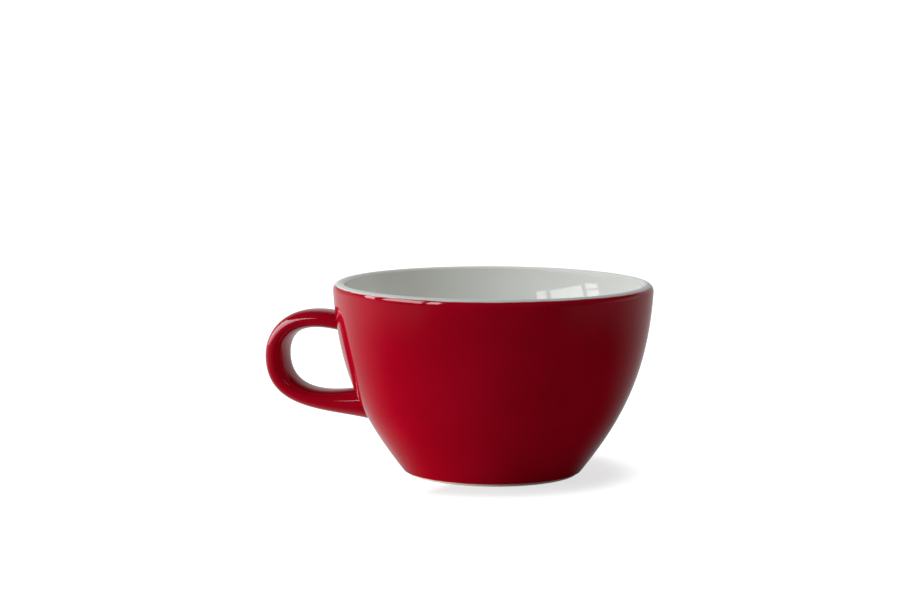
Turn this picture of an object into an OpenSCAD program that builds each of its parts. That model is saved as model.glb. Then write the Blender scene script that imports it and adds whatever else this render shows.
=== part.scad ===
// Coffee cup: a thick clay bowl and a strap handle joined with slip, white glaze inside, red glaze outside.
// Origin on the cup's axis in the plane of the foot, +Z up, handle towards -X, all sizes in millimetres.
// Bowl and handle sizes are those of the glazed surface. The clay lies one glaze coat below it.

/* [Bowl] */
// Outside diameter at the rim
rim_d = 107; // [95:0.5:120]
// Height from the table to the top of the lip
cup_h = 64; // [56:0.5:72]
// Thickness of the wall at the lip
lip_t = 3.6; // [3:0.1:4.5]
// Rounding of the lip's inner edge; the outer edge's rounding takes the rest of the thickness
lip_inside_r = 1.1; // [0.8:0.1:1.8]
// Outside diameter where the wall ends above the foot ring
base_d = 60; // [54:0.5:66]
// Slope of the wall above the foot ring, from the horizontal
base_slope = 51.6; // [46:0.2:56]
// Length over which the wall keeps the slope that it starts with
base_pull = 24.5; // [20:0.5:28]
// Draft of the outside wall at the rim, from the vertical
rim_draft = 3.6; // [1:0.1:6]
// Length over which the outside wall keeps its draft
rim_pull = 25; // [20:0.5:30]

/* [Inside] */
// Height of the inside floor above the table
floor_h = 7; // [6:0.1:9]
// Draft of the inside wall at the lip, from the vertical
bowl_draft = 8; // [4:0.1:10]
// Length over which the inside wall keeps its draft
bowl_pull = 41.5; // [38:0.5:44]
// Radius over which the inside floor stays level
floor_pull = 35; // [28:0.5:36]

/* [Foot] */
// Height of the bare foot ring below the wall
foot_h = 1; // [0.6:0.1:2]
// Outside diameter of the foot ring
foot_d = 57.6; // [50:0.2:58.4]
// Width of the ring that stands on the table
foot_w = 3.8; // [3:0.1:6]
// Depth of the recess inside the foot ring, in the clay
recess_h = 2.4; // [1.8:0.1:2.8]
// Slope that breaks the inner edge of the foot ring
foot_chamfer = 0.4; // [0.2:0.1:0.6]

/* [Handle] */
// Reach of the handle beyond the side of the rim
handle_out = 25.9; // [22:0.1:32]
// Width of the strap
strap_w = 15.5; // [12:0.1:18]
// Thickness of the strap at its outermost point
strap_t = 7; // [6:0.1:9]
// Exponent of the strap's rounded section: 2 is an ellipse, more is squarer
strap_round = 2.3; // [2:0.1:3.4]
// Height of the outermost point of the handle
reach_h = 37; // [34:0.5:40]
// Drop from the top of the lip to the top of the upper root
upper_drop = 12.9; // [11:0.1:15]
// Thickness of the strap at the upper root
upper_t = 6.2; // [5:0.1:8]
// Rise of the upper arm as it leaves the bowl, from the horizontal
upper_rise = 15.4; // [5:0.2:20]
// Height of the underside of the lower root
lower_h = 14.6; // [13:0.1:17]
// Thickness of the strap at the lower root
lower_t = 12.6; // [10:0.1:14]
// Rise of the underside as it leaves the bowl, from the horizontal
lower_rise = 20; // [10:0.5:26]
// Fall of the finger hole's lower edge as it leaves the bowl, from the horizontal
hole_fall = 12.2; // [6:0.2:16]

/* [Handle curves] */
// Pull of the upper root on the outer line
outer_upper_pull = 24.8; // [20:0.2:28]
// Pull of the outermost point on the outer line, upwards
outer_up_pull = 7; // [5:0.2:12]
// Pull of the outermost point on the outer line, downwards
outer_down_pull = 22.5; // [18:0.2:25]
// Pull of the lower root on the outer line
outer_lower_pull = 15; // [12:0.2:18]
// Pull of the upper root on the finger hole's line
hole_upper_pull = 16; // [13:0.2:19]
// Pull of the outermost point on the finger hole's line, upwards
hole_up_pull = 8.8; // [7:0.2:11]
// Pull of the outermost point on the finger hole's line, downwards
hole_down_pull = 12.4; // [10:0.2:14]
// Pull of the lower root on the finger hole's line
hole_lower_pull = 17.4; // [14:0.2:19]

/* [Coats] */
// Thickness of every glaze coat
glaze_t = 0.4; // [0.3:0.05:0.6]
// Thickness of the slip between the bowl and the handle
slip_t = 0.6; // [0.5:0.05:1]
// Angle up the outside of the lip where the white glaze ends and the red begins
liner_edge = 46; // [20:1:70]

/* [Hidden] */
$fn = 128;

clay_colour = [0.90, 0.87, 0.81];
slip_colour = [0.84, 0.80, 0.73];
white_colour = [0.92, 0.92, 0.90];
red_colour = [0.55, 0.02, 0.07];

rim_r = rim_d / 2;
base_r = base_d / 2;
foot_r = foot_d / 2;
recess_r = foot_r - foot_w;
lip_outside_r = lip_t - lip_inside_r;
lip_outside_centre = [rim_r - lip_outside_r, cup_h - lip_outside_r];
lip_inside_centre = [rim_r - lip_outside_r, cup_h - lip_inside_r];

wall_steps = 26;
lip_steps = 6;
ring_steps = 36;
strap_steps = 40;
root_steps = 8;
root_sink = 3;

// A point on a cubic Bezier curve, and its unit direction there
function bez(p, t) =
    pow(1 - t, 3) * p[0] + 3 * t * pow(1 - t, 2) * p[1] + 3 * t * t * (1 - t) * p[2] + pow(t, 3) * p[3];
function bez_slope(p, t) =
    pow(1 - t, 2) * (p[1] - p[0]) + 2 * t * (1 - t) * (p[2] - p[1]) + t * t * (p[3] - p[2]);
function bez_dir(p, t) = bez_slope(p, t) / norm(bez_slope(p, t));
function left_of(v) = [-v[1], v[0]];
function polar(a) = [cos(a), sin(a)];

// A point of the lip at an angle and a depth d: on the outer arc as far as its top, on the inner arc beyond
function lip_point(d, a) =
    a <= 90 ? lip_outside_centre + (lip_outside_r - d) * polar(a)
    : lip_inside_centre + (lip_inside_r - d) * polar(a);

// Outside line of the bowl, from the foot up to the lip, and inside line, from the lip down to the axis
outside = let(low = [base_r, foot_h], top = lip_point(0, -rim_draft))
    [low, low + base_pull * polar(base_slope), top - rim_pull * polar(90 - rim_draft), top];
inside = let(top = lip_point(0, 180 - bowl_draft))
    [top, top - bowl_pull * polar(90 - bowl_draft), [floor_pull, floor_h], [0, floor_h]];

// The same lines at a depth d below the glazed surface
function outside_line(d) =
    [for (i = [0:wall_steps]) let(t = i / wall_steps) bez(outside, t) + d * left_of(bez_dir(outside, t))];
function inside_line(d) =
    [for (i = [0:wall_steps]) let(t = i / wall_steps) bez(inside, t) + d * left_of(bez_dir(inside, t))];
function lip_arc(d, from, to) =
    [for (i = [0:lip_steps]) lip_point(d, from + (to - from) * i / lip_steps)];
function red_lip(d) = lip_arc(d, -rim_draft, liner_edge);
function white_lip(d) = concat(lip_arc(d, liner_edge, 90), lip_arc(d, 90, 180 - bowl_draft));
function reversed(list) = [for (i = [len(list) - 1:-1:0]) list[i]];

// Where the outside wall's clay reaches the level of the foot ring's top
function clay_heel() = let(p = outside_line(glaze_t)[0])
    [p[0] - (p[1] - foot_h) / tan(base_slope), foot_h];

// Radius of the glazed outside wall at a height, found by halving
function wall_r(z, low = 0, high = 1, n = 30) = let(mid = (low + high) / 2)
    n == 0 ? bez(outside, mid)[0]
    : bez(outside, mid)[1] < z ? wall_r(z, mid, high, n - 1) : wall_r(z, low, mid, n - 1);

// One line of the handle in its plane: from a point inside the upper wall, round the tip, to the lower wall
function root(h) = [wall_r(h) - root_sink, h];
function arm_line(high, rise, high_pull, tip, up, down, low, fall, low_pull) =
    [[root(high), root(high) + high_pull * polar(rise), tip + [0, up], tip],
     [tip, tip - [0, down], root(low) + low_pull * polar(fall), root(low)]];

upper_h = cup_h - upper_drop;
outer_tip = [rim_r + handle_out, reach_h];
outer_line = arm_line(upper_h, upper_rise, outer_upper_pull, outer_tip,
                      outer_up_pull, outer_down_pull, lower_h, lower_rise, outer_lower_pull);
hole_line = arm_line(upper_h - upper_t, upper_rise, hole_upper_pull, outer_tip - [strap_t, 0],
                     hole_up_pull, hole_down_pull, lower_h + lower_t, -hole_fall, hole_lower_pull);

// A point of a handle line at a share s of its length, 0 at the upper root and 1 at the lower
function on_line(line, s) = s < 0.5 ? bez(line[0], 2 * s) : bez(line[1], 2 * s - 1);

// One ring of the strap, a superellipse between the two lines, at a depth d below its glaze
function super(v) = sign(v) * pow(abs(v), 2 / strap_round);
function strap_ring(s, d) =
    let(o = on_line(outer_line, s), h = on_line(hole_line, s), half = norm(o - h) / 2)
    let(mid = (o + h) / 2, across = (o - h) / 2 * (half - d) / half)
    [for (j = [0:ring_steps - 1])
        let(a = 360 * j / ring_steps, p = mid + across * super(cos(a)))
        [-p[0], (strap_w / 2 - d) * super(sin(a)), p[1]]];
function strap_rings(d, first, last) = [for (i = [first:last]) strap_ring(i / strap_steps, d)];

// Triangles between ring i and ring i + 1, each of n points, counted from a first point
function band(i, n, first = 0) = [for (j = [0:n - 1], k = [0, 1])
    let(a = first + i * n + j, b = first + i * n + (j + 1) % n)
    k == 0 ? [a, b, a + n] : [b, b + n, a + n]];
function turned(faces) = [for (f = faces) [f[2], f[1], f[0]]];

// Solid strap from one ring to another
module strap(d, first = 0, last = strap_steps) {
    count = last - first;
    sides = [for (i = [0:count - 1]) each band(i, ring_steps)];
    start = [for (j = [0:ring_steps - 1]) j];
    end = [for (j = [ring_steps - 1:-1:0]) count * ring_steps + j];
    polyhedron([for (r = strap_rings(d, first, last)) each r], concat(turned(sides), [start, end]));
}

// Hollow strap: the space between the glazed surface and a depth d
module strap_coat(d) {
    n = ring_steps;
    end = strap_steps * n;
    inner = end + n;
    rings = concat(strap_rings(0, 0, strap_steps), strap_rings(d, 0, strap_steps));
    skin = [for (i = [0:strap_steps - 1]) each band(i, n)];
    lining = [for (i = [0:strap_steps - 1]) each band(i, n, inner)];
    upper_edge = [for (j = [0:n - 1]) let(k = (j + 1) % n)
        each [[j, k, inner + j], [k, inner + k, inner + j]]];
    lower_edge = [for (j = [0:n - 1]) let(k = (j + 1) % n)
        each [[end + j, inner + end + j, end + k], [end + k, inner + end + j, inner + end + k]]];
    polyhedron([for (r = rings) each r], concat(turned(skin), lining, upper_edge, lower_edge));
}

// Everything inside the bowl's outside line at a depth d, as a solid
module bowl_plug(d) {
    line = outside_line(d);
    rotate_extrude() polygon(concat([[0, line[0][1]]], line, [[0, line[wall_steps][1]]]));
}

// The layer of the outside wall between two depths
module wall_layer(shallow, deep) {
    rotate_extrude() polygon(concat(outside_line(shallow), reversed(outside_line(deep))));
}

module cup_body() {
    color(clay_colour) rotate_extrude() polygon(concat(
        [[recess_r + foot_chamfer, 0], [foot_r, 0], [foot_r, foot_h], clay_heel()],
        outside_line(glaze_t), red_lip(glaze_t), white_lip(glaze_t), inside_line(glaze_t),
        [[0, recess_h], [recess_r, recess_h], [recess_r, foot_chamfer]]));
}

module handle() {
    color(clay_colour) difference() {
        strap(glaze_t);
        bowl_plug(glaze_t - slip_t);
    }
}

// Slip under one end of the handle, filling the seam between the two pieces of clay
module slip_joint(first, last) {
    color(slip_colour) intersection() {
        strap(glaze_t, first, last);
        wall_layer(glaze_t - slip_t, glaze_t);
    }
}

module upper_slip_joint() {
    slip_joint(0, root_steps);
}

module lower_slip_joint() {
    slip_joint(strap_steps - root_steps, strap_steps);
}

module inner_glaze() {
    color(white_colour) rotate_extrude() polygon(concat(
        white_lip(0), inside_line(0), reversed(inside_line(glaze_t)), reversed(white_lip(glaze_t))));
}

module outer_glaze() {
    color(red_colour) difference() {
        rotate_extrude() polygon(concat(
            outside_line(0), red_lip(0), reversed(red_lip(glaze_t)), reversed(outside_line(glaze_t)),
            [clay_heel()]));
        strap(glaze_t, 0, root_steps);
        strap(glaze_t, strap_steps - root_steps, strap_steps);
    }
}

module handle_glaze() {
    color(red_colour) difference() {
        strap_coat(glaze_t);
        bowl_plug(0);
    }
}

module base_glaze() {
    color(red_colour) rotate_extrude() polygon([
        [0, recess_h - glaze_t], [recess_r - glaze_t, recess_h - glaze_t],
        [recess_r, recess_h - 2 * glaze_t], [recess_r, recess_h], [0, recess_h]]);
}

cup_body();
handle();
upper_slip_joint();
lower_slip_joint();
inner_glaze();
outer_glaze();
handle_glaze();
base_glaze();
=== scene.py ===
"""Looks of a glazed stoneware coffee cup: white liner, red outside, strap handle, bare foot ring.

All sizes are in metres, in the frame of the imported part: origin on the cup's axis in the plane of
the foot, +Z up, handle towards -X. Lines of the bowl are (radius, height) pairs, and slopes, drafts,
rises, falls and turns are in degrees.
"""
from math import cos, pi, radians, sin

import bpy
import numpy as np
from mathutils import Euler, Matrix, Vector


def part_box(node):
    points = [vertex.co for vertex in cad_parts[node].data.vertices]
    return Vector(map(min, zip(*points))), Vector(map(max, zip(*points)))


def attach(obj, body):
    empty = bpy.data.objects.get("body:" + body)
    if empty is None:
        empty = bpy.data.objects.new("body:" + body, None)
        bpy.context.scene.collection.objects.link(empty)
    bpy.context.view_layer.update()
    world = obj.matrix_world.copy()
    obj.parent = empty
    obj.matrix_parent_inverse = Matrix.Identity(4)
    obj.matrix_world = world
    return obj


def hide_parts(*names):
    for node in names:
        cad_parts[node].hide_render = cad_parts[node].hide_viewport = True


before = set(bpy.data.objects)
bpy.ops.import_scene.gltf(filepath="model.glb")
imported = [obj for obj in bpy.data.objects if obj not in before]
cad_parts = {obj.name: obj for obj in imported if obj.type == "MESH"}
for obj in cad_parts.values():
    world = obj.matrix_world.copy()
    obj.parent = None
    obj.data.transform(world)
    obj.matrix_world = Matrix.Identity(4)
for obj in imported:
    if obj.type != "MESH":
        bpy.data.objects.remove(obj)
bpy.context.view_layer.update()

MM = 0.001

# Sizes of the bowl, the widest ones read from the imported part
rim_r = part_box("outer_glaze")[1].y
cup_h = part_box("inner_glaze")[1].z
lip_t, lip_inside_r = 3.6 * MM, 1.1 * MM
lip_outside_r = lip_t - lip_inside_r
base_r = 30 * MM
base_slope, base_pull = 51.6, 24.5 * MM
rim_draft, rim_pull = 3.6, 25 * MM
floor_h = 7 * MM
bowl_draft, bowl_pull = 8, 41.5 * MM
floor_pull = 35 * MM

# Where white meets red on the lip: its angle, and how far, in which waves and from which seed it sways
liner_edge, edge_sway = 46, 2.0
edge_waves, edge_seed = np.array([2, 3, 5, 7, 11, 17, 26, 37, 49, 64]), 11

# Sizes of the foot, then of its roundings on the outside, at the neck and on the inside
foot_h = 1 * MM
foot_r = 28.8 * MM
foot_w = 3.8 * MM
recess_r = foot_r - foot_w
recess_h = 2.4 * MM
foot_round, neck_round = 0.45 * MM, 0.3 * MM
foot_round_inside = 1.2 * foot_round

# Thickness of the coats, and the cove of the base glaze: its width, its height and its corner's distance in
glaze_t = 0.4 * MM
cove_w, cove_h, cove_in = 2.5 * glaze_t, 2.4 * glaze_t, 0.4 * glaze_t

# Radius of the first ring round a pole on the axis
pole_r = 0.2 * MM

# Sizes of the handle
reach = -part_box("handle_glaze")[0].x
strap_w = 2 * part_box("handle_glaze")[1].y
strap_t = 7 * MM
strap_round = 2.3
reach_h = 37 * MM
upper_h, upper_t, upper_rise = 51.1 * MM, 6.2 * MM, 15.4
lower_h, lower_t, lower_rise = 14.6 * MM, 12.6 * MM, 20
hole_fall = 12.2
root_sink = 3 * MM

# Fillet of glaze at the handle's roots: its size, and how far its foot dips under the bowl's surface
root_fillet, fillet_tuck = 0.8 * MM, 0.01 * MM

# Pulls of the handle's two lines: at the upper root, above and below the tip, at the lower root
outer_pulls = np.array([24.8, 7, 22.5, 15]) * MM
hole_pulls = np.array([16, 8.8, 12.4, 17.4]) * MM

# Shares of the strap's length between which each root comes out of the bowl
UPPER_ROOT, LOWER_ROOT = (0, 0.25), (1, 0.75)

# Fineness of the meshes: points round the cup, up a wall that shows and one under a coat, over the lip's
# shoulder, round a coat's edge, round and along the strap, and across a fillet
ROUND = 320
WALL = 120
UNDER_COAT = 60
LIP = 14
EDGE = 6
STRAP_ROUND = 128
STRAP_LONG = 180
FILLET = 7

# Fineness of what is looked up: heights of the wall, and shares of a root
WALL_TABLE, ROOT_TABLE = 2000, 600

round_about = np.linspace(0, 2 * pi, ROUND, endpoint=False)


def polar(angle):
    """Unit vector at an angle in degrees: its cosine, its sine."""
    a = np.radians(angle)
    return np.stack([np.cos(a), np.sin(a)], -1)


def bezier(points, t):
    """Cubic Bezier curve: the four points weighed by the cubes and products of t and 1 - t."""
    p, t = np.array(points, float), np.asarray(t, float)[..., None]
    return (1 - t) ** 3 * p[0] + 3 * t * (1 - t) ** 2 * p[1] + 3 * t * t * (1 - t) * p[2] + t ** 3 * p[3]


def bezier_side(points, t):
    """Unit vector to the left of a Bezier curve: its slope, made one long and turned a quarter."""
    p, t = np.array(points, float), np.asarray(t, float)[..., None]
    way = (1 - t) ** 2 * (p[1] - p[0]) + 2 * t * (1 - t) * (p[2] - p[1]) + t * t * (p[3] - p[2])
    way /= np.linalg.norm(way, axis=-1, keepdims=True)
    return np.stack([-way[..., 1], way[..., 0]], -1)


def lip_point(angle, depth):
    """A point of the lip at an angle and a depth: on its outer arc up to the top, then on its inner arc."""
    angle = np.asarray(angle, float)
    radius = np.where(angle <= 90, lip_outside_r, lip_inside_r)
    centre = np.stack([np.full(angle.shape, rim_r - lip_outside_r), cup_h - radius], -1)
    return centre + (radius - depth)[..., None] * polar(angle)


outside_low = np.array([base_r, foot_h])
outside_top = lip_point(-rim_draft, 0)
outside = [outside_low, outside_low + base_pull * polar(base_slope),
           outside_top - rim_pull * polar(90 - rim_draft), outside_top]
inside_top = lip_point(180 - bowl_draft, 0)
inside = [inside_top, inside_top - bowl_pull * polar(90 - bowl_draft),
          [floor_pull, floor_h], [0, floor_h]]


def wall_line(curve, depth, count):
    """A line of the bowl at a depth under its glaze: the curve, moved by the depth to its left."""
    t = np.linspace(0, 1, count)
    return bezier(curve, t) + depth * bezier_side(curve, t)


wall_table = wall_line(outside, 0, WALL_TABLE)


def wall_radius(z):
    """Radius of the glazed outside at a height, read off the outside line."""
    return np.interp(z, wall_table[:, 1], wall_table[:, 0])


def ripple(angle, waves, seed):
    """A closed uneven line: cosines of whole wave numbers with seeded phases, lower as they get shorter."""
    rng = np.random.default_rng(seed)
    phase = rng.uniform(0, 2 * pi, len(waves))
    size = rng.uniform(0.6, 1.0, len(waves)) / np.sqrt(waves)
    total = (size * np.cos(np.multiply.outer(angle, waves) + phase)).sum(-1)
    return total / np.sqrt((size ** 2).sum() / 2)


colour_edge = liner_edge + edge_sway * ripple(round_about, edge_waves, edge_seed)


def lip_line(depth, start, end, count):
    """Lines over the lip, one for each place round the cup: its two arcs, from one angle to another."""
    share = np.linspace(0, 1, count)[:, None]
    return lip_point(start + (end - start) * share, depth)


def all_round(line):
    """The same line at every place round the cup."""
    return np.repeat(np.asarray(line, float)[:, None], ROUND, 1)


def edge_cap(first, last, count=EDGE):
    """Rounded end of a coat: half a circle from its outer line's end to its inner line's end."""
    mid, half = (first + last) / 2, (first - last) / 2
    turn = np.stack([-half[..., 1], half[..., 0]], -1)
    a = np.linspace(0, pi, count + 2)[1:-1].reshape(-1, *([1] * first.ndim))
    return mid + half * np.cos(a) + turn * np.sin(a)


def rounded(corner, before, after, radius, count=6):
    """Rounded corner of a line: a parabola from one radius before the corner to one radius after it."""
    corner, before, after = (np.array(p, float) for p in (corner, before, after))
    a = corner + radius * (before - corner) / np.linalg.norm(before - corner)
    b = corner + radius * (after - corner) / np.linalg.norm(after - corner)
    t = np.linspace(0, 1, count)[:, None]
    return (1 - t) ** 2 * a + 2 * t * (1 - t) * corner + t * t * b


def straight(start, end, count):
    """Points spaced evenly between two, without the two."""
    t = np.linspace(0, 1, count + 2)[1:-1, None]
    return (1 - t) * np.array(start) + t * np.array(end)


def revolved(lines):
    """Points of a turned piece: each (radius, height) goes to radius times cosine and sine, and height."""
    radius, height = lines[..., 0], lines[..., 1]
    return np.stack([radius * np.cos(round_about), radius * np.sin(round_about), height], -1)


def on_line(line, s):
    """A handle line at a share s of its length: its first curve up to a half, its second after."""
    first = bezier(line[0], np.clip(2 * s, 0, 1))
    second = bezier(line[1], np.clip(2 * s - 1, 0, 1))
    return np.where((np.asarray(s) < 0.5)[..., None], first, second)


def arm_line(high, rise, tip, low, fall, pulls):
    """One line of the handle in its plane: two curves that meet upright at its outermost point."""
    high_pull, up, down, low_pull = pulls
    root_high = np.array([wall_radius(high) - root_sink, high])
    root_low = np.array([wall_radius(low) - root_sink, low])
    tip = np.array(tip)
    return [[root_high, root_high + high_pull * polar(rise), tip + [0, up], tip],
            [tip, tip - [0, down], root_low + low_pull * polar(fall), root_low]]


outer_line = arm_line(upper_h, upper_rise, [reach, reach_h], lower_h, lower_rise, outer_pulls)
hole_line = arm_line(upper_h - upper_t, upper_rise, [reach - strap_t, reach_h],
                     lower_h + lower_t, -hole_fall, hole_pulls)


def strap_point(s, angle, depth):
    """A point of the strap: a superellipse across the two handle lines at a share s, less the depth."""
    o, h = on_line(outer_line, s), on_line(hole_line, s)
    half = np.linalg.norm(o - h, axis=-1) / 2
    c, w = np.cos(angle), np.sin(angle)
    size = (np.abs(c) ** strap_round + np.abs(w) ** strap_round) ** (-1 / strap_round)
    p = (o + h) / 2 + (o - h) / 2 * ((half - depth) / half * size * c)[..., None]
    return np.stack([-p[..., 0], (strap_w / 2 - depth) * size * w, p[..., 1]], -1)


strap_about = np.linspace(0, 2 * pi, STRAP_ROUND, endpoint=False)


def meets_wall(start, end, depth):
    """Share of the strap's length, between two shares, at which each of its long lines leaves the bowl."""
    s = np.linspace(start, end, ROOT_TABLE)[:, None] + 0 * strap_about
    p = strap_point(s, strap_about + 0 * s, depth)
    out = np.hypot(p[..., 0], p[..., 1]) - wall_radius(p[..., 2])
    after = np.argmax(out > 0, axis=0)[None]
    a, b = np.take_along_axis(out, after - 1, 0), np.take_along_axis(out, after, 0)
    sa, sb = np.take_along_axis(s, after - 1, 0), np.take_along_axis(s, after, 0)
    return (sa + (sb - sa) * a / (a - b))[0]


def root_flare(s_wall, inwards):
    """Small glaze fillet at one root: for each long line a parabola from strap to bowl round their corner.

    It leaves the strap one fillet before the corner and reaches the bowl one fillet beyond it, square to
    the root's outline in the bowl's tangent plane. Slopes are taken over a small step each way. Returns
    where it leaves the strap, and its rings from there.
    """
    step = 1e-4
    corner = strap_point(s_wall, strap_about, 0)
    before, after = strap_point(s_wall - step, strap_about, 0), strap_point(s_wall + step, strap_about, 0)
    speed = np.linalg.norm(after - before, axis=-1) / (2 * step)
    s_leave = s_wall + inwards * root_fillet / speed
    leave = strap_point(s_leave, strap_about, 0)
    along = np.roll(corner, -1, 0) - np.roll(corner, 1, 0)
    lean = (wall_radius(corner[:, 2] + step) - wall_radius(corner[:, 2] - step)) / (2 * step)
    normal = np.stack([corner[:, 0], corner[:, 1], -lean * np.hypot(corner[:, 0], corner[:, 1])], -1)
    away = np.cross(along, normal)
    away /= np.linalg.norm(away, axis=-1, keepdims=True)
    away *= np.sign((away * (corner - corner.mean(0))).sum())
    land = corner + root_fillet * away
    pull_in = (wall_radius(land[:, 2]) - fillet_tuck) / np.hypot(land[:, 0], land[:, 1])
    land[:, :2] *= pull_in[:, None]
    t = np.linspace(0, 1, FILLET + 1)[1:, None, None]
    return s_leave, (1 - t) ** 2 * leave + 2 * t * (1 - t) * corner + t * t * land


def strap_rings(s_first, s_last, depth):
    """Rings of the strap, each long line cut into equal shares between its own two ends."""
    share = np.linspace(0, 1, STRAP_LONG)[:, None]
    s = s_first + (s_last - s_first) * share
    return strap_point(s, strap_about + 0 * s, depth)


def closed_mesh(name, rings, poles=None):
    """A mesh from rings of points, joined by quads round each ring and from ring to ring.

    Without poles, the last ring joins the first. With two poles, points on the axis, fans close the first
    and the last ring. Faces are turned to point outwards by the sign of the volume they hold.
    """
    count, wide = rings.shape[:2]
    points = rings.reshape(-1, 3)
    row = np.arange(count - 1 if poles else count)[:, None] * wide
    next_row = (row + wide) % (count * wide)
    col = np.arange(wide)[None]
    next_col = (col + 1) % wide
    quads = np.stack([row + col, row + next_col, next_row + next_col, next_row + col], -1).reshape(-1, 4)
    fans = np.zeros((0, 3), int)
    if poles:
        first, last = len(points), len(points) + 1
        points = np.concatenate([points, [poles[0]], [poles[1]]])
        end = (count - 1) * wide
        fans = np.concatenate([
            np.stack([np.full(wide, first), next_col[0], col[0]], -1),
            np.stack([np.full(wide, last), end + col[0], end + next_col[0]], -1)])
    a, b, c, d = (points[quads[:, k]] for k in range(4))
    held = np.einsum("ij,ij->", a, np.cross(b, c)) + np.einsum("ij,ij->", a, np.cross(c, d))
    if held < 0:
        quads, fans = quads[:, ::-1], fans[:, ::-1]
    mesh = bpy.data.meshes.new(name)
    mesh.vertices.add(len(points))
    mesh.vertices.foreach_set("co", points.astype(np.float32).ravel())
    corners = np.concatenate([quads.ravel(), fans.ravel()]).astype(np.int32)
    sizes = np.concatenate([np.full(len(quads), 4), np.full(len(fans), 3)])
    mesh.loops.add(len(corners))
    mesh.loops.foreach_set("vertex_index", corners)
    mesh.polygons.add(len(sizes))
    mesh.polygons.foreach_set("loop_start", (np.cumsum(sizes) - sizes).astype(np.int32))
    mesh.polygons.foreach_set("use_smooth", np.ones(len(sizes), bool))
    mesh.update(calc_edges=True)
    mesh.validate()
    return mesh


def measure(mesh, name, values):
    """Stores one number for each point of a mesh, zero for its poles, for a material to read."""
    held = np.zeros(len(mesh.vertices), np.float32)
    held[:values.size] = values.ravel()
    mesh.attributes.new(name, "FLOAT", "POINT").data.foreach_set("value", held)


def run_from(lines):
    """Length along each line from its first point: the steps between its points, added up."""
    step = np.linalg.norm(np.diff(lines, axis=0), axis=-1)
    return np.concatenate([np.zeros((1,) + step.shape[1:]), np.cumsum(step, 0)])


def add_piece(mesh, material, nodes):
    """Puts a mesh into the scene as a piece of the cup, standing for CAD nodes."""
    piece = bpy.data.objects.new(mesh.name, mesh)
    bpy.context.scene.collection.objects.link(piece)
    mesh.materials.append(material)
    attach(piece, "root")
    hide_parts(*nodes)
    return piece


class Recipe:
    """A node material in the making: adds nodes, joins sockets, and gives Object coordinates."""

    def __init__(self, name):
        self.material = bpy.data.materials.new(name)
        self.material.use_nodes = True
        self.nodes = self.material.node_tree.nodes
        self.links = self.material.node_tree.links
        self.shader = self.nodes["Principled BSDF"]
        self.place = self.nodes.new("ShaderNodeTexCoord").outputs["Object"]

    def join(self, source, target):
        """Joins an output socket to an input socket."""
        self.links.new(source, target)

    def noise(self, scale, detail=2.0, rough=0.5):
        """Noise with so many features to a metre, from 0 to 1 but mostly near the middle."""
        n = self.nodes.new("ShaderNodeTexNoise")
        n.inputs["Scale"].default_value = scale
        n.inputs["Detail"].default_value = detail
        n.inputs["Roughness"].default_value = rough
        self.join(self.place, n.inputs["Vector"])
        return n.outputs["Fac"]

    def attribute(self, name):
        """A number that was stored for each point of the mesh."""
        n = self.nodes.new("ShaderNodeAttribute")
        n.attribute_name = name
        return n.outputs["Fac"]

    def spread(self, value, low, high, to_low, to_high):
        """Carries a range of a value smoothly to another range, and holds it at the ends."""
        n = self.nodes.new("ShaderNodeMapRange")
        n.interpolation_type = "SMOOTHSTEP"
        ends = {"From Min": low, "From Max": high, "To Min": to_low, "To Max": to_high}
        for socket, number in ends.items():
            n.inputs[socket].default_value = number
        self.join(value, n.inputs["Value"])
        return n.outputs["Result"]

    def clouds(self, to_low, to_high, scale, detail=2.0, rough=0.5):
        """Noise carried from its usual range, 0.3 to 0.7, to another range."""
        return self.spread(self.noise(scale, detail, rough), 0.3, 0.7, to_low, to_high)

    def mix(self, share, first, second):
        """Colour between two, each a tuple or a socket, by a share."""
        n = self.nodes.new("ShaderNodeMix")
        n.data_type = "RGBA"
        self.join(share, n.inputs["Factor"])
        for socket, colour in (("A", first), ("B", second)):
            target = [s for s in n.inputs if s.name == socket and s.type == "RGBA"][0]
            if isinstance(colour, tuple):
                target.default_value = (*colour, 1)
            else:
                self.join(colour, target)
        return [s for s in n.outputs if s.type == "RGBA"][0]

    def maths(self, how, first, second):
        """One step of arithmetic on two values, each a number or a socket."""
        n = self.nodes.new("ShaderNodeMath")
        n.operation = how
        for socket, value in zip(n.inputs, (first, second)):
            if isinstance(value, (int, float)):
                socket.default_value = value
            else:
                self.join(value, socket)
        return n.outputs["Value"]

    def times(self, first, second):
        """Product of two values."""
        return self.maths("MULTIPLY", first, second)

    def plus(self, first, second):
        """Sum of two values."""
        return self.maths("ADD", first, second)

    def bump(self, height, distance, under=None):
        """Bump from a height of 0 to 1 over a distance in metres, on top of another bump."""
        n = self.nodes.new("ShaderNodeBump")
        n.inputs["Distance"].default_value = distance
        n.inputs["Strength"].default_value = 1.0
        self.join(height, n.inputs["Height"])
        if under is not None:
            self.join(under, n.inputs["Normal"])
        return n.outputs["Normal"]


# Finishes: colours as linear red, green and blue, and how strongly a glaze mirrors
RED_PALE, RED_DEEP = (0.34, 0.0012, 0.0122), (0.30, 0.0008, 0.0092)
STRAP_RED_PALE, STRAP_RED_DEEP = (0.305, 0.0010, 0.0108), (0.27, 0.0007, 0.0082)
RED_THIN = (0.40, 0.085, 0.05)
WHITE_PALE, WHITE_DEEP = (0.875, 0.885, 0.84), (0.845, 0.855, 0.805)
# The lip's grey is painted shade, for the lip's top catching less light than the walls; its clay tone is the
# glaze's thin edge
LIP_PAINTED_SHADE, LIP_CLAY = (0.60, 0.61, 0.60), (0.60, 0.47, 0.42)
CLAY_PALE, CLAY_DARK, CLAY_SPECK = (0.66, 0.60, 0.51), (0.54, 0.47, 0.38), (0.30, 0.22, 0.15)
SLIP_PALE, SLIP_DARK = (0.58, 0.52, 0.43), (0.48, 0.42, 0.34)
GLAZE_IOR, GLAZE_GLOSS = 1.5, 0.65


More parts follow.
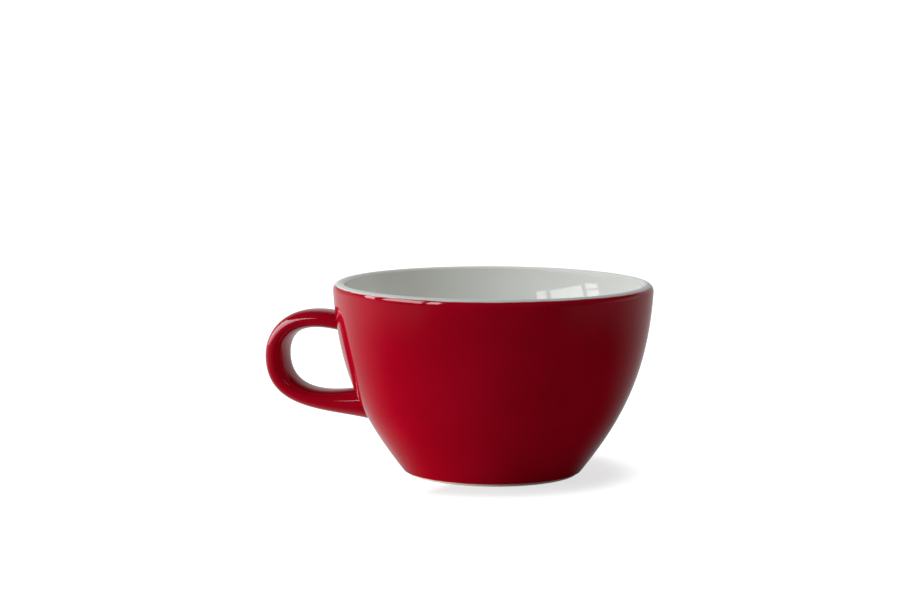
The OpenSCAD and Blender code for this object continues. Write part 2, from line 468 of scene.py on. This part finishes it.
def melt(m, fine, fine_h, broad, broad_h):
    """Skin of a melted glaze: fine and broad ripples, each so many to a metre and so high, and its gloss."""
    ripples = m.bump(m.noise(fine, 2), fine_h)
    m.join(m.bump(m.noise(broad, 1), broad_h, ripples), m.shader.inputs["Normal"])
    m.shader.inputs["IOR"].default_value = GLAZE_IOR
    m.shader.inputs["Specular IOR Level"].default_value = GLAZE_GLOSS


def red_glaze(name, pale, deep, thin_edge):
    """Glossy red glaze: faint clouds of depth and, along a thin edge, a broken brown line."""
    m = Recipe(name)
    colour = m.mix(m.clouds(0, 1, 45, 3, 0.55), deep, pale)
    if thin_edge:
        broken = m.plus(m.attribute("to_edge"), m.clouds(-0.08 * MM, 0.08 * MM, 900))
        colour = m.mix(m.spread(broken, 0.02 * MM, 0.30 * MM, 1, 0), colour, RED_THIN)
    m.join(colour, m.shader.inputs["Base Color"])
    m.join(m.clouds(0.02, 0.035, 160, 3), m.shader.inputs["Roughness"])
    melt(m, 260, 0.002 * MM, 70, 0.006 * MM)
    return m.material


def white_glaze():
    """Glossy off-white liner: hardly any clouds, matt over the lip and greyed there as painted shade,
    clay-toned at its edge.
    """
    m = Recipe("white_liner_glaze")
    to_edge = m.attribute("to_edge")
    colour = m.mix(m.clouds(0, 1, 30, 3), WHITE_DEEP, WHITE_PALE)
    # Painted shade: the liner greys over the lip, which catches less light than the walls
    colour = m.mix(m.spread(to_edge, 0.8 * MM, 2.7 * MM, 1, 0), colour, LIP_PAINTED_SHADE)
    colour = m.mix(m.spread(to_edge, 0, 0.25 * MM, 1, 0), colour, LIP_CLAY)
    m.join(colour, m.shader.inputs["Base Color"])
    matt_lip = m.spread(to_edge, 3.1 * MM, 4.4 * MM, 0.3, 0)
    m.join(m.plus(m.clouds(0.008, 0.016, 150, 3), matt_lip), m.shader.inputs["Roughness"])
    melt(m, 240, 0.0005 * MM, 60, 0.003 * MM)
    return m.material


def bare_clay(name, pale, dark):
    """Unglazed fired stoneware: fine grain in colour and bump, with small dark specks."""
    m = Recipe(name)
    grain = m.noise(2600, 3, 0.6)
    colour = m.mix(m.spread(grain, 0.35, 0.7, 0, 1), pale, dark)
    speck = m.spread(m.noise(1500, 1), 0.72, 0.80, 0, 0.7)
    m.join(m.mix(speck, colour, CLAY_SPECK), m.shader.inputs["Base Color"])
    m.join(m.clouds(0.70, 0.92, 700), m.shader.inputs["Roughness"])
    m.join(m.bump(grain, 0.06 * MM), m.shader.inputs["Normal"])
    return m.material


red_body_glaze = red_glaze("red_body_glaze", RED_PALE, RED_DEEP, True)
red_handle_glaze = red_glaze("red_handle_glaze", STRAP_RED_PALE, STRAP_RED_DEEP, False)
liner_glaze = white_glaze()
body_clay = bare_clay("bare_foot_clay", CLAY_PALE, CLAY_DARK)
joint_slip = bare_clay("joint_slip", SLIP_PALE, SLIP_DARK)


def outer_glaze():
    """Red coat of the bowl: up the outside, over the shoulder to the colour edge, round it, back below."""
    wall, under = wall_line(outside, 0, WALL), wall_line(outside, glaze_t, UNDER_COAT)
    shoulder = lip_line(0, -rim_draft, colour_edge, LIP)
    shoulder_under = lip_line(glaze_t, -rim_draft, colour_edge, LIP)[::-1]
    skin = np.concatenate([all_round(wall), shoulder[1:]])
    back = np.concatenate([shoulder_under[:-1], all_round(under[::-1])])
    lines = np.concatenate([skin, edge_cap(skin[-1], back[0]), back, edge_cap(back[-1], skin[0])])
    mesh = closed_mesh("outer_glaze", revolved(lines))
    run = run_from(lines)
    to_lip = np.abs(run[len(skin) - 1] - run)
    to_foot = np.minimum(run, run[-1] - run)
    measure(mesh, "to_edge", np.minimum(to_lip, to_foot))
    return add_piece(mesh, red_body_glaze, ["outer_glaze"])


def inner_glaze():
    """White liner: from the floor's middle up the inside, over the lip to the colour edge, back below."""
    wall, under = wall_line(inside, 0, WALL)[::-1], wall_line(inside, glaze_t, UNDER_COAT)
    over = lip_line(0, 180 - bowl_draft, colour_edge, 3 * LIP)
    over_under = lip_line(glaze_t, 180 - bowl_draft, colour_edge, 3 * LIP)[::-1]
    skin = np.concatenate([all_round(wall[1:]), over[1:]])
    back = np.concatenate([over_under[:-1], all_round(under[:-1])])
    lines = np.concatenate([skin, edge_cap(skin[-1], back[0]), back])
    mesh = closed_mesh("inner_glaze", revolved(lines), [[0, 0, floor_h], [0, 0, floor_h - glaze_t]])
    run = run_from(lines)
    measure(mesh, "to_edge", np.abs(run[len(skin) - 1] - run))
    return add_piece(mesh, liner_glaze, ["inner_glaze"])


def cup_body():
    """Clay of the bowl, turned from one line: recess, foot ring, heel, and the wall under its coats."""
    under, over = wall_line(outside, glaze_t, UNDER_COAT), wall_line(inside, glaze_t, UNDER_COAT)
    lip = lip_point(np.linspace(-rim_draft, 180 - bowl_draft, 4 * LIP), glaze_t)
    top, inner, outer = [recess_r, recess_h], [recess_r, 0], [foot_r, 0]
    neck, heel = [foot_r, foot_h], [base_r - glaze_t / sin(radians(base_slope)), foot_h]
    line = np.concatenate([
        straight([pole_r, recess_h], [recess_r - foot_round, recess_h], 20),
        rounded(top, [0, recess_h], inner, foot_round),
        rounded(inner, top, outer, foot_round_inside),
        straight([recess_r + foot_round_inside, 0], [foot_r - foot_round, 0], 6),
        rounded(outer, inner, neck, foot_round),
        rounded(neck, outer, heel, neck_round),
        under, lip[1:], over[1:-1]])
    poles = [[0, 0, recess_h], [0, 0, floor_h - glaze_t]]
    mesh = closed_mesh("cup_body", revolved(all_round(line)), poles)
    return add_piece(mesh, body_clay, ["cup_body"])


def base_glaze():
    """Glaze in the foot's recess: a level disc, a parabola down the ring's wall, and the upper side."""
    level = recess_h - glaze_t
    start = np.array([recess_r - cove_w, level])
    corner = np.array([recess_r - cove_in, level])
    edge = np.array([recess_r, recess_h - cove_h])
    t = np.linspace(0, 1, 8)[:, None]
    cove = (1 - t) ** 2 * start + 2 * t * (1 - t) * corner + t ** 2 * edge
    disc = straight([pole_r, level], start, 24)
    line = np.concatenate([disc, cove, straight(edge, [recess_r, recess_h], 2), [[recess_r, recess_h]],
                           straight([recess_r, recess_h], [pole_r, recess_h], 6)])
    mesh = closed_mesh("base_glaze", revolved(all_round(line)), [[0, 0, level], [0, 0, recess_h]])
    run = run_from(all_round(line))
    measure(mesh, "to_edge", np.abs(run - run[len(disc) + len(cove) - 1]))
    return add_piece(mesh, red_body_glaze, ["base_glaze"])


def handle_glaze():
    """Red coat of the strap with a small fillet at each root, and its inner side below, as one shell."""
    s_up, upper = root_flare(meets_wall(*UPPER_ROOT, 0), 1)
    s_low, lower = root_flare(meets_wall(*LOWER_ROOT, 0), -1)
    skin = strap_rings(s_up, s_low, 0)
    back = strap_rings(meets_wall(*UPPER_ROOT, glaze_t), meets_wall(*LOWER_ROOT, glaze_t), glaze_t)
    rings = np.concatenate([upper[::-1], skin, lower, back[::-1]])
    mesh = closed_mesh("handle_glaze", rings)
    return add_piece(mesh, red_handle_glaze, ["handle_glaze"])


liner = inner_glaze()
red_body = [outer_glaze(), base_glaze()]
red_handle = handle_glaze()
cup_body()

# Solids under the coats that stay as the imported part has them, in their finishes
kept_solids = {"handle": body_clay, "upper_slip_joint": joint_slip, "lower_slip_joint": joint_slip}
for name, material in kept_solids.items():
    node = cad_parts[name]
    node.data.materials.clear()
    node.data.materials.append(material)

# The photograph's camera: 15 degrees round from the front, a little above the lip, with a long lens
VIEW_TURN = 15.0
VIEW_TILT = 6.678
VIEW_AIM = 0.0115
VIEW_ROLL = 0.2
EYE_RIGHT, EYE_BACK, EYE_UP = -0.01426, 0.8301, 0.1552
LENS_PIXELS, PICTURE_WIDE = 2500.0, 900.0


def as_seen(right, away, up):
    """A point in the part's frame, given to the right, away and up as the photograph sees the cup."""
    c, s = cos(radians(VIEW_TURN)), sin(radians(VIEW_TURN))
    return Vector((right * c - away * s, right * s + away * c, up))


def add_camera():
    """Camera of the photograph: its eye, its turn, tilt and roll, and its lens, given in pixels."""
    data = bpy.data.cameras.new("camera")
    data.sensor_width = 36.0
    data.lens = LENS_PIXELS / PICTURE_WIDE * data.sensor_width
    data.clip_start, data.clip_end = 0.01, 20
    camera = bpy.data.objects.new("camera", data)
    turn = Euler((radians(90 - VIEW_TILT), 0, radians(VIEW_TURN + VIEW_AIM))).to_matrix()
    turn = turn @ Matrix.Rotation(radians(VIEW_ROLL), 3, "Z")
    camera.matrix_world = Matrix.Translation(as_seen(EYE_RIGHT, -EYE_BACK, EYE_UP)) @ turn.to_4x4()
    bpy.context.scene.collection.objects.link(camera)
    bpy.context.scene.camera = camera


add_camera()


def turned_apart(m, place):
    """Right, away and up parts of a place or direction, as the photograph sees the cup."""
    turned = m.nodes.new("ShaderNodeVectorRotate")
    turned.rotation_type = "Z_AXIS"
    turned.inputs["Angle"].default_value = -radians(VIEW_TURN)
    m.join(place, turned.inputs["Vector"])
    apart = m.nodes.new("ShaderNodeSeparateXYZ")
    m.join(turned.outputs["Vector"], apart.inputs["Vector"])
    return apart.outputs


def seen_white(m, path, seen, mirrored):
    """Share of white for a ray: one share for the camera, and another for gloss and glass."""
    gloss = m.maths("MAXIMUM", path["Is Glossy Ray"], path["Is Transmission Ray"])
    return m.maths("MAXIMUM", m.times(path["Is Camera Ray"], seen), m.times(gloss, mirrored))


# Floor: its paleness to bounced light, to the camera and in gloss, and the depth of the shade by the foot
FLOOR_BOUNCE, FLOOR_SEEN, FLOOR_MIRRORED = 0.62, 0.30, 0.005
FLOOR_SHADE = 0.31
# Glow of the floor on matt surfaces: near the cup to the left and to the right, and all over behind it
GLOW_LEFT, GLOW_RIGHT, GLOW_BEHIND = 0.60, 0.10, 0.8
# White of the floor in gloss: behind the cup to the left and right, and as a haze far out on each side
MIRRORED_LEFT, MIRRORED_RIGHT = 0.62, 0.46
HAZE_LEFT, HAZE_RIGHT = 0.12, 0.06


def floor_sheet():
    """Pale sheet under the cup that sweeps up behind it: level, then a quarter circle, then upright."""
    wide, front, back, bend, tall = 3.0, 1.6, 1.6, 0.7, 1.2
    level, columns = 40, 7
    a = np.linspace(0, pi / 2, 24)
    profile = np.concatenate([
        np.stack([np.linspace(-front, back, level), np.zeros(level)], -1),
        np.stack([back + bend * np.sin(a), bend - bend * np.cos(a)], -1)[1:],
        [[back + bend, bend + tall]]])
    right = np.broadcast_to(np.linspace(-wide, wide, columns), (len(profile), columns))
    away, up = profile[:, :1], profile[:, 1:]
    c, s = cos(radians(VIEW_TURN)), sin(radians(VIEW_TURN))
    points = np.stack([right * c - away * s, right * s + away * c, up + 0 * right], -1).reshape(-1, 3)
    i = np.arange(len(profile) - 1)[:, None] * columns + np.arange(columns - 1)
    quads = np.stack([i, i + 1, i + columns + 1, i + columns], -1).reshape(-1, 4)
    mesh = bpy.data.meshes.new("floor")
    mesh.from_pydata(points.tolist(), [], quads.tolist())
    mesh.polygons.foreach_set("use_smooth", np.ones(len(quads), bool))
    floor = bpy.data.objects.new("floor", mesh)
    bpy.context.scene.collection.objects.link(floor)
    return floor


def floor_place(m):
    """Where a floor point lies: its distance from the cup, its share to the right, and its three parts."""
    length = m.nodes.new("ShaderNodeVectorMath")
    length.operation = "LENGTH"
    m.join(m.place, length.inputs[0])
    far = length.outputs["Value"]
    parts = turned_apart(m, m.place)
    return far, m.maths("DIVIDE", parts["X"], far), parts


def floor_white_in_gloss(m, far, side, parts):
    """White of the floor in gloss: none before the cup, most behind it, less at the right and high up."""
    away = m.maths("DIVIDE", parts["Y"], far)
    close = m.spread(far, 0.03, 0.07, 0.4, 0)
    lean = m.spread(side, -0.5, 0.5, 0.08, -0.08)
    white = m.spread(m.plus(m.plus(away, close), lean), -0.3, 1.1, 0, 1)
    high_left = m.times(m.spread(parts["Z"], 0.1, 0.4, 0, 1), m.spread(side, -0.25, -0.08, 0.5, 0))
    shares = [m.spread(side, -0.5, 0.5, MIRRORED_LEFT, MIRRORED_RIGHT), m.spread(side, 0.5, 0.85, 1, 0.8),
              m.spread(parts["Z"], 0.9, 1.6, 1, 0.3), m.maths("SUBTRACT", 1.0, high_left)]
    for share in shares:
        white = m.times(white, share)
    haze_left = m.times(m.spread(far, 0.14, 0.30, 0, HAZE_LEFT), m.spread(side, -0.85, -0.6, 1, 0))
    haze_right = m.times(m.spread(far, 0.14, 0.30, 0, HAZE_RIGHT), m.spread(side, 0.6, 0.85, 0, 1))
    return m.plus(white, m.plus(haze_left, haze_right))


def floor_glow(m, far, side, parts):
    """Glow of the floor on matt surfaces: near the cup, from left to right, and even all over behind it."""
    near = m.times(m.spread(side, -1.0, 0.4, GLOW_LEFT, GLOW_RIGHT), m.spread(far, 0.045, 0.11, 1, 0))
    return m.plus(near, m.spread(parts["Y"], 0.0, 0.06, 0, GLOW_BEHIND))


def add_floor():
    """Pale floor and backdrop: white to the camera but for the cup's shadow and a shade round its foot."""
    m = Recipe("pale_floor")
    path = m.nodes.new("ShaderNodeLightPath").outputs
    colour = m.mix(path["Is Camera Ray"], (FLOOR_BOUNCE,) * 3, (FLOOR_SEEN,) * 3)
    m.join(m.mix(path["Is Glossy Ray"], colour, (FLOOR_MIRRORED,) * 3), m.shader.inputs["Base Color"])
    m.shader.inputs["Roughness"].default_value = 1.0
    m.shader.inputs["Specular IOR Level"].default_value = 0.0
    m.shader.inputs["Emission Color"].default_value = (1, 1, 1, 1)
    far, side, parts = floor_place(m)
    shade = m.times(m.spread(far, 0.038, 0.056, FLOOR_SHADE, 0), m.spread(side, -0.62, -0.42, 0, 1))
    lift = m.maths("SUBTRACT", 1.0, shade)
    white = seen_white(m, path, lift, floor_white_in_gloss(m, far, side, parts))
    glow = m.times(path["Is Diffuse Ray"], floor_glow(m, far, side, parts))
    m.join(m.plus(white, glow), m.shader.inputs["Emission Strength"])
    m.material.cycles.emission_sampling = "NONE"
    floor = floor_sheet()
    floor.data.materials.append(m.material)


add_floor()

# Room: its light from above, the sides and the front right, its dim face in gloss, and the white there
ROOM_ABOVE, ROOM_SIDE, ROOM_FRONT, ROOM_MIRRORED = 0.49, 0.13, 0.11, 0.01
MIRRORED_WHITE = 0.5


class WorldRecipe(Recipe):
    """The same helpers on the world's nodes, with directions as the place."""

    def __init__(self, world):
        world.use_nodes = True
        self.nodes, self.links = world.node_tree.nodes, world.node_tree.links
        self.place = self.nodes.new("ShaderNodeTexCoord").outputs["Generated"]


def add_world():
    """Plain room: soft light, most of it from above, that gloss shows dim, but white low behind the cup."""
    world = bpy.data.worlds.new("room")
    bpy.context.scene.world = world
    m = WorldRecipe(world)
    parts = turned_apart(m, m.place)
    front_right = m.spread(m.maths("SUBTRACT", parts["X"], parts["Y"]), -0.3, 1.2, 0, 1)
    room = m.mix(front_right, (ROOM_SIDE,) * 3, (ROOM_FRONT,) * 3)
    room = m.mix(m.spread(parts["Z"], 0.35, 0.95, 0, 1), room, (ROOM_ABOVE,) * 3)
    path = m.nodes.new("ShaderNodeLightPath").outputs
    room = m.mix(path["Is Glossy Ray"], room, (ROOM_MIRRORED,) * 3)
    behind = m.times(m.spread(parts["Y"], -0.5, 0.9, 0, 1), m.spread(parts["Z"], 0.12, 0.45, 1, 0))
    white = seen_white(m, path, 1.0, m.times(behind, MIRRORED_WHITE))
    colour = m.mix(white, room, (1.0, 1.0, 1.0))
    m.join(colour, m.nodes["Background"].inputs["Color"])


add_world()

# Window to the left of the camera: its turn and distance, then its edges as shares of the distance
WINDOW_TURN, WINDOW_AWAY = -65.0, 1.6
WINDOW_LEFT, WINDOW_RIGHT, WINDOW_LOW, WINDOW_HIGH = -0.52, 0.45, 0.25, 0.70
WINDOW_LIGHT, WINDOW_TINT = 4.15, (0.98, 1.0, 1.06)
# Softbox overhead and low card on the left: place to the right, away and up, then size and light
TOP_PLACE, TOP_WIDE, TOP_LIGHT = (-0.25, 0.08, 1.7), 0.5, 7.2
CARD_PLACE, CARD_WIDE, CARD_TALL, CARD_LIGHT = (-0.6, 0.12, 0.035), 1.2, 0.066, 21.5


def add_lamp(name, middle, aim, wide, tall, light, tint=(1, 1, 1)):
    """Unseen rectangular lamp shining along aim: its power is pi times its brightness times its area."""
    data = bpy.data.lights.new(name, "AREA")
    data.shape = "RECTANGLE"
    data.size, data.size_y = wide, tall
    data.energy = light * pi * wide * tall
    data.color = tint
    lamp = bpy.data.objects.new(name, data)
    lamp.matrix_world = Matrix.Translation(middle) @ aim.to_track_quat("-Z", "Y").to_matrix().to_4x4()
    lamp.visible_camera = lamp.visible_glossy = False
    bpy.context.scene.collection.objects.link(lamp)


def in_window(along, up):
    """A point of the window's plane, along and up as shares of its distance from the cup."""
    a = radians(WINDOW_TURN)
    return as_seen(sin(a) + along * cos(a), along * sin(a) - cos(a), up) * WINDOW_AWAY


def add_lamps():
    """Window, softbox and card, as light only: window square on, softbox at the cup, card level."""
    middle = in_window((WINDOW_LEFT + WINDOW_RIGHT) / 2, (WINDOW_LOW + WINDOW_HIGH) / 2)
    wide, tall = (WINDOW_RIGHT - WINDOW_LEFT) * WINDOW_AWAY, (WINDOW_HIGH - WINDOW_LOW) * WINDOW_AWAY
    add_lamp("window", middle, -in_window(0, 0), wide, tall, WINDOW_LIGHT, WINDOW_TINT)
    top, card = as_seen(*TOP_PLACE), as_seen(*CARD_PLACE)
    add_lamp("top_softbox", top, -top, TOP_WIDE, TOP_WIDE, TOP_LIGHT)
    add_lamp("low_card", card, Vector((-card.x, -card.y, 0)), CARD_WIDE, CARD_TALL, CARD_LIGHT)


# Panes as the glaze mirrors them: brightness at the first two corners and at the last two, then the four
# corners, along and up as shares of the window's distance
PANES_IN_LINER = [
    (3.8, 3.8, (0.361, 0.2445), (0.530, 0.2725), (0.515, 0.282), (0.347, 0.2515)),
    (4.0, 4.0, (0.345, 0.2525), (0.513, 0.283), (0.485, 0.300), (0.290, 0.274)),
    (3.6, 3.6, (-0.203, 0.180), (0.046, 0.205), (0.005, 0.222), (-0.370, 0.203)),
    (3.6, 3.6, (0.046, 0.205), (0.288, 0.237), (0.230, 0.264), (0.005, 0.222)),
    (3.8, 3.8, (-0.516, 0.159), (-0.278, 0.173), (-0.312, 0.1785), (-0.565, 0.1625)),
    (3.8, 3.8, (-0.580, 0.1637), (-0.322, 0.1797), (-0.430, 0.195), (-0.770, 0.1765))]
PANES_IN_BODY = [
    (6.4, 6.4, (0.25, 0.52), (0.44, 0.60), (0.30, 1.40), (0.06, 1.40)),
    (5.0, 5.0, (-0.50, 0.56), (0.19, 0.50), (-0.10, 1.45), (-1.00, 1.75)),
    (5.0, 5.0, (-0.89, 0.50), (-0.58, 0.43), (-1.45, 1.68), (-1.75, 1.40))]
PANES_IN_HANDLE = [
    (1.6, 4.2, (-2.40, 0.10), (0.26, 0.10), (0.42, 0.50), (-2.40, 0.50)),
    (4.2, 5.8, (0.20, 0.50), (0.42, 0.50), (0.55, 0.76), (0.20, 0.88)),
    (4.2, 5.2, (-0.60, 0.50), (0.20, 0.50), (0.20, 0.88), (-0.60, 1.22)),
    (4.2, 4.6, (-2.40, 0.50), (-0.60, 0.50), (-0.60, 1.22), (-2.40, 1.95))]


def add_mirrored_panes(name, panes, further, shown_in):
    """The window as gloss shows it: clear glowing sheets by its plane, shown in some pieces only."""
    points = [in_window(along, up) * (1 + further) for pane in panes for along, up in pane[2:]]
    mesh = bpy.data.meshes.new(name)
    mesh.from_pydata(points, [], np.arange(len(points)).reshape(-1, 4).tolist())
    measure(mesh, "brightness", np.repeat([pane[:2] for pane in panes], 2))
    sheets = bpy.data.objects.new(name, mesh)
    bpy.context.scene.collection.objects.link(sheets)
    sheets.visible_camera = sheets.visible_diffuse = sheets.visible_shadow = False
    pieces = bpy.data.collections.new(name + "_shown_in")
    for piece in shown_in:
        pieces.objects.link(piece)
    sheets.light_linking.receiver_collection = pieces
    m = Recipe(name)
    glow = m.nodes.new("ShaderNodeEmission")
    clear = m.nodes.new("ShaderNodeBsdfTransparent")
    both = m.nodes.new("ShaderNodeAddShader")
    m.join(m.attribute("brightness"), glow.inputs["Strength"])
    m.join(glow.outputs["Emission"], both.inputs[0])
    m.join(clear.outputs["BSDF"], both.inputs[1])
    m.join(both.outputs["Shader"], m.nodes["Material Output"].inputs["Surface"])
    m.nodes.remove(m.shader)
    m.material.cycles.emission_sampling = "NONE"
    mesh.materials.append(m.material)


add_lamps()
add_mirrored_panes("panes_in_liner", PANES_IN_LINER, 0, [liner])
add_mirrored_panes("panes_in_body", PANES_IN_BODY, 0.01, red_body)
add_mirrored_panes("panes_in_handle", PANES_IN_HANDLE, 0.02, [red_handle])

bpy.context.scene.view_settings.view_transform = "Standard"

bpy.context.view_layer.update()
